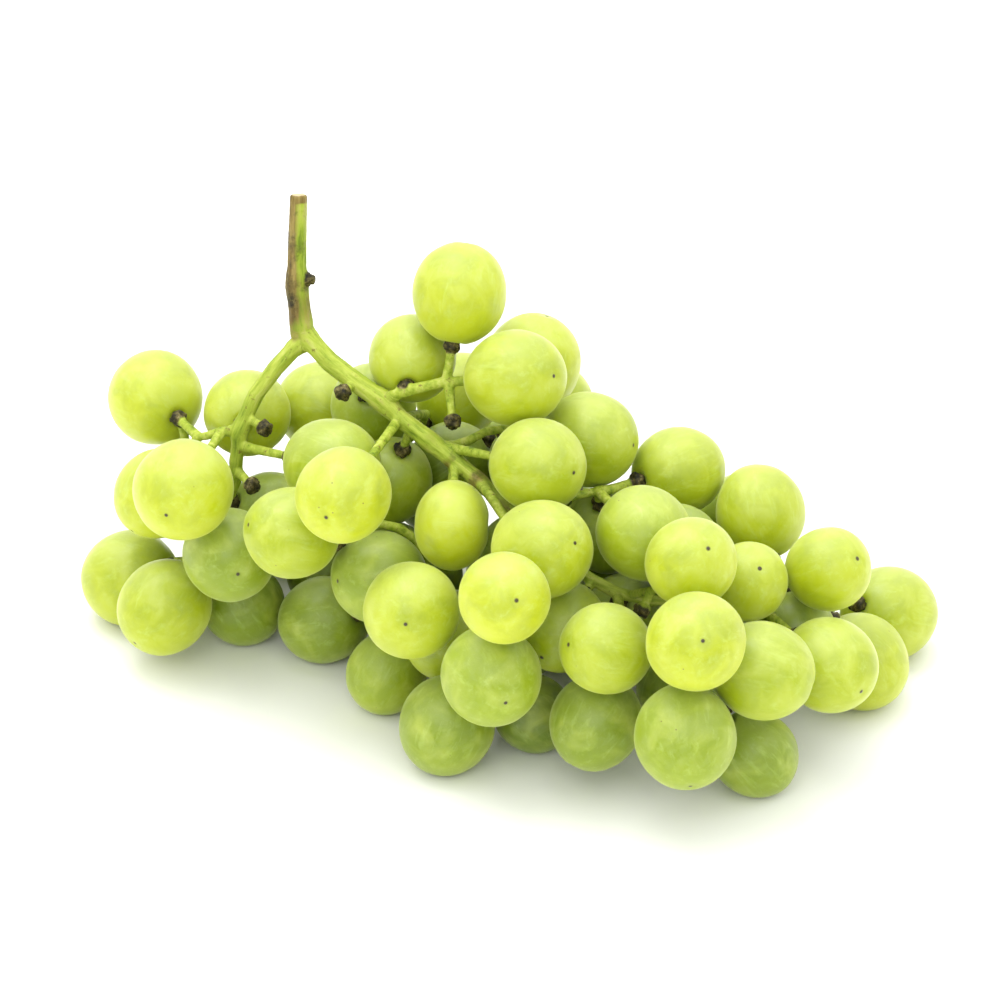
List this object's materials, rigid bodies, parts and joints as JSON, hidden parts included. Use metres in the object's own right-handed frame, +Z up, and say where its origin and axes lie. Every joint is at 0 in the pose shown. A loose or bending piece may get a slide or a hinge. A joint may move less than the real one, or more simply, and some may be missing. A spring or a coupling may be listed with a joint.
{
  "type": "bunch of grapes",
  "caption": "Bunch of white table grapes lying on its side: a branched stem with a cut end, and loose-set round berries, to lie on a plate, board or table.",
  "frame": {"origin": "middle of the bunch's box, on the surface that it lies on", "axes": "+X along the rachis from the cut end to the tip, +Y from the front of the bunch to its back, +Z up"},
  "size_m": [0.1806, 0.1076, 0.0973],
  "materials": {
    "berry_skin": "satin",
    "green_stem": "matte"
  },
  "bodies": {
    "root": {"back_berry_1": "berry_skin", "back_berry_2": "berry_skin", "back_berry_3": "berry_skin", "back_berry_4": "berry_skin", "back_berry_5": "berry_skin", "bridge_berry_1": "berry_skin", "bridge_berry_2": "berry_skin", "bridge_berry_3": "berry_skin", "crown_berry_1": "berry_skin", "crown_berry_2": "berry_skin", "crown_berry_3": "berry_skin", "far_side_berry_1": "berry_skin", "front_berry_1": "berry_skin", "front_berry_2": "berry_skin", "front_berry_3": "berry_skin", "front_berry_4": "berry_skin", "front_berry_5": "berry_skin", "front_berry_6": "berry_skin", "front_berry_7": "berry_skin", "hip_berry_1": "berry_skin", "hip_berry_2": "berry_skin", "hip_berry_3": "berry_skin", "hip_berry_4": "berry_skin", "hip_berry_5": "berry_skin", "hip_berry_6": "berry_skin", "middle_berry_1": "berry_skin", "middle_berry_2": "berry_skin", "middle_berry_3": "berry_skin", "middle_berry_4": "berry_skin", "middle_berry_5": "berry_skin", "rachis_berry_1": "berry_skin", "rachis_berry_10": "berry_skin", "rachis_berry_11": "berry_skin", "rachis_berry_2": "berry_skin", "rachis_berry_3": "berry_skin", "rachis_berry_4": "berry_skin", "rachis_berry_5": "berry_skin", "rachis_berry_6": "berry_skin", "rachis_berry_7": "berry_skin", "rachis_berry_8": "berry_skin", "rachis_berry_9": "berry_skin", "shoulder_berry_1": "berry_skin", "shoulder_berry_2": "berry_skin", "shoulder_berry_3": "berry_skin", "shoulder_berry_4": "berry_skin", "shoulder_berry_5": "berry_skin", "shoulder_berry_6": "berry_skin", "shoulder_berry_7": "berry_skin", "shoulder_spur_berry_1": "berry_skin", "shoulder_spur_berry_2": "berry_skin", "shoulder_spur_berry_3": "berry_skin", "spur_berry_1": "berry_skin", "stem": "green_stem", "tail_berry_1": "berry_skin", "tail_berry_2": "berry_skin", "waist_berry_1": "berry_skin", "waist_berry_2": "berry_skin", "waist_berry_3": "berry_skin", "waist_berry_4": "berry_skin", "waist_berry_5": "berry_skin"}
  },
  "joints": []
}
